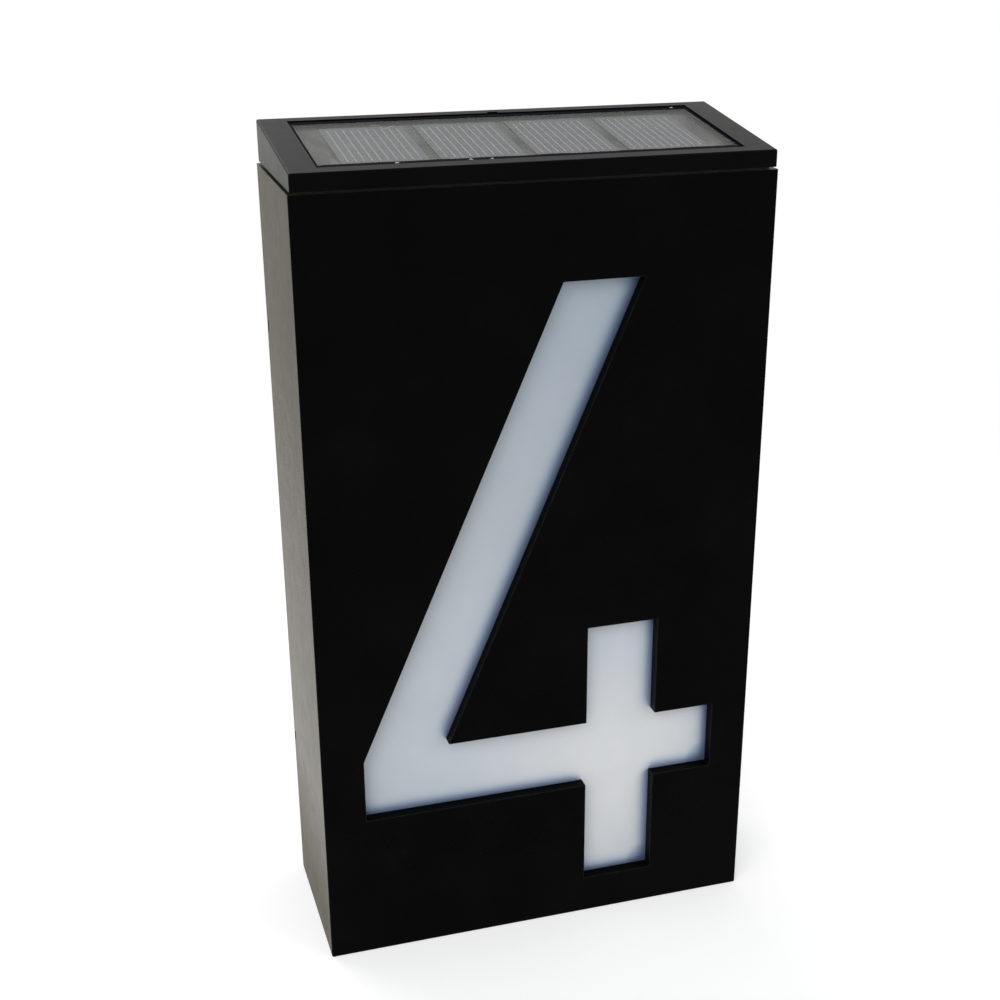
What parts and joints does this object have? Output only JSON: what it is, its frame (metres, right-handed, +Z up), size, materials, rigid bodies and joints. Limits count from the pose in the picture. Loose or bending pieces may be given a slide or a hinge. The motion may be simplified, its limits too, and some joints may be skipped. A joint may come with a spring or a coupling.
{
  "type": "illuminated house number sign",
  "caption": "Solar-powered upright box sign with an open numeral over an opal diffuser, a sloped solar cap, a rear battery bay and a steel wall plate.",
  "frame": {"origin": "middle of the sign's footprint, on the surface that it stands on", "axes": "+X to the right seen from the front, +Y from the front face towards the wall, +Z up"},
  "size_m": [0.1016, 0.0406, 0.1841],
  "materials": {
    "black_abs": "fine moulded texture, satin black",
    "cover_abs": "matt black moulded back",
    "opal_acrylic": "opal white sheet, satin",
    "white_abs": "white reflector plastic",
    "white_board": "white solder mask on glass-fibre board",
    "green_board": "green solder mask on glass-fibre board",
    "led_package": "white package with yellow phosphor",
    "zinc_steel": "zinc-plated, slightly dull",
    "nickel_steel": "nickel-plated spring steel",
    "black_rubber": "soft matt rubber",
    "grey_foam": "closed-cell foam",
    "cell_wrap": "printed-free shrink sleeve",
    "chip_epoxy": "moulded epoxy",
    "ferrite": "ferrite with copper turns",
    "capacitor_sleeve": "plastic sleeve over aluminium can",
    "resistor_ceramic": "coated ceramic chips",
    "switch_black": "black nylon",
    "panel_black": "dark glass-fibre board",
    "silicon": "blue-grey silicon",
    "silver_ink": "printed silver lines",
    "clear_resin": "clear epoxy, faintly dimpled",
    "red_lead": "red insulation",
    "black_lead": "black insulation"
  },
  "bodies": {
    "sign": {"housing": "black_abs", "diffuser": "opal_acrylic", "light_tray": "white_abs", "light_tray_screws": "zinc_steel", "led_board": "white_board", "leds": "led_package", "led_board_screws": "zinc_steel", "rear_cover": "cover_abs", "rear_cover_seal": "black_rubber", "rear_cover_screws": "zinc_steel", "battery_cell": "cell_wrap", "battery_spring": "nickel_steel", "negative_contact": "nickel_steel", "positive_contact": "nickel_steel", "control_board": "green_board", "control_board_screws": "zinc_steel", "control_chip": "chip_epoxy", "charge_coil": "ferrite", "capacitor": "capacitor_sleeve", "resistors": "resistor_ceramic", "switch_body": "zinc_steel", "wall_bumpers": "black_rubber", "top_cap": "black_abs", "cap_seal": "black_rubber", "cap_screws": "zinc_steel", "panel_tape": "grey_foam", "panel_board": "panel_black", "solar_cells": "silicon", "cell_fingers": "silver_ink", "panel_resin": "clear_resin", "cable_grommet": "black_rubber", "panel_lead_red": "red_lead", "panel_lead_black": "black_lead", "led_lead_red": "red_lead", "led_lead_black": "black_lead", "battery_lead_red": "red_lead", "battery_lead_black": "black_lead"},
    "battery_door": {"battery_door": "cover_abs", "battery_door_seal": "black_rubber", "battery_door_screws": "zinc_steel"},
    "wall_plate": {"wall_plate": "zinc_steel"},
    "switch_slider": {"switch_slider": "switch_black"}
  },
  "joints": [
    {"name": "battery_door_lift", "type": "slide", "parent": "sign", "child": "battery_door", "axis": [0, 1, 0], "range_m": [0, 0.02]},
    {"name": "wall_plate_release", "type": "slide", "parent": "sign", "child": "wall_plate", "axis": [0, 0, -1], "range_m": [0, 0.0056]},
    {"name": "switch_slide", "type": "slide", "parent": "sign", "child": "switch_slider", "axis": [1, 0, 0], "range_m": [0, 0.0025]}
  ]
}
